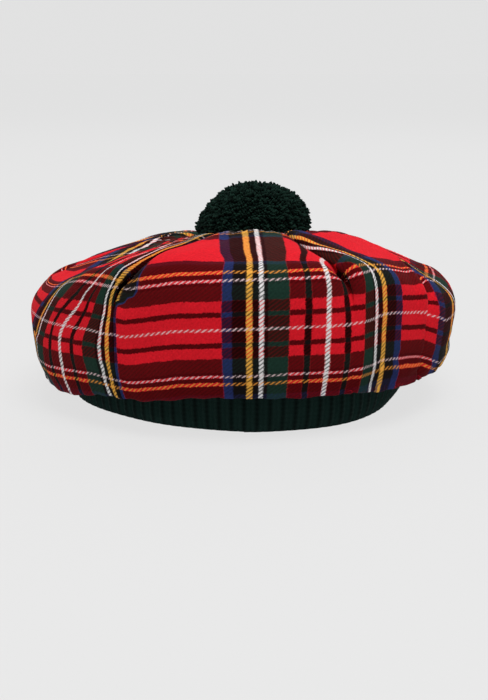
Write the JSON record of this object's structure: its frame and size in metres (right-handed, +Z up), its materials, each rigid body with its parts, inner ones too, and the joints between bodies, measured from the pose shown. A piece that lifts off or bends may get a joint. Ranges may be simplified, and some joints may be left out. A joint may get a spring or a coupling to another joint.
{
  "type": "tam o' shanter",
  "caption": "Soft round tartan cloth cap, gathered under a yarn pompom, with a ribbed knitted headband that a head goes into.",
  "frame": {"origin": "on the surface that the hat rests on, at the middle of the headband's foot", "axes": "+Z up through the pompom, -Y towards the wearer's front, +X towards the right of the picture"},
  "size_m": [0.2314, 0.2322, 0.1157],
  "materials": {
    "headband": "dark green ribbed wool knit",
    "crown": "brushed wool twill in a red tartan",
    "pompom": "dark green cut wool yarn"
  },
  "bodies": {
    "root": {"headband": "headband", "crown": "crown", "pompom": "pompom"}
  },
  "joints": []
}
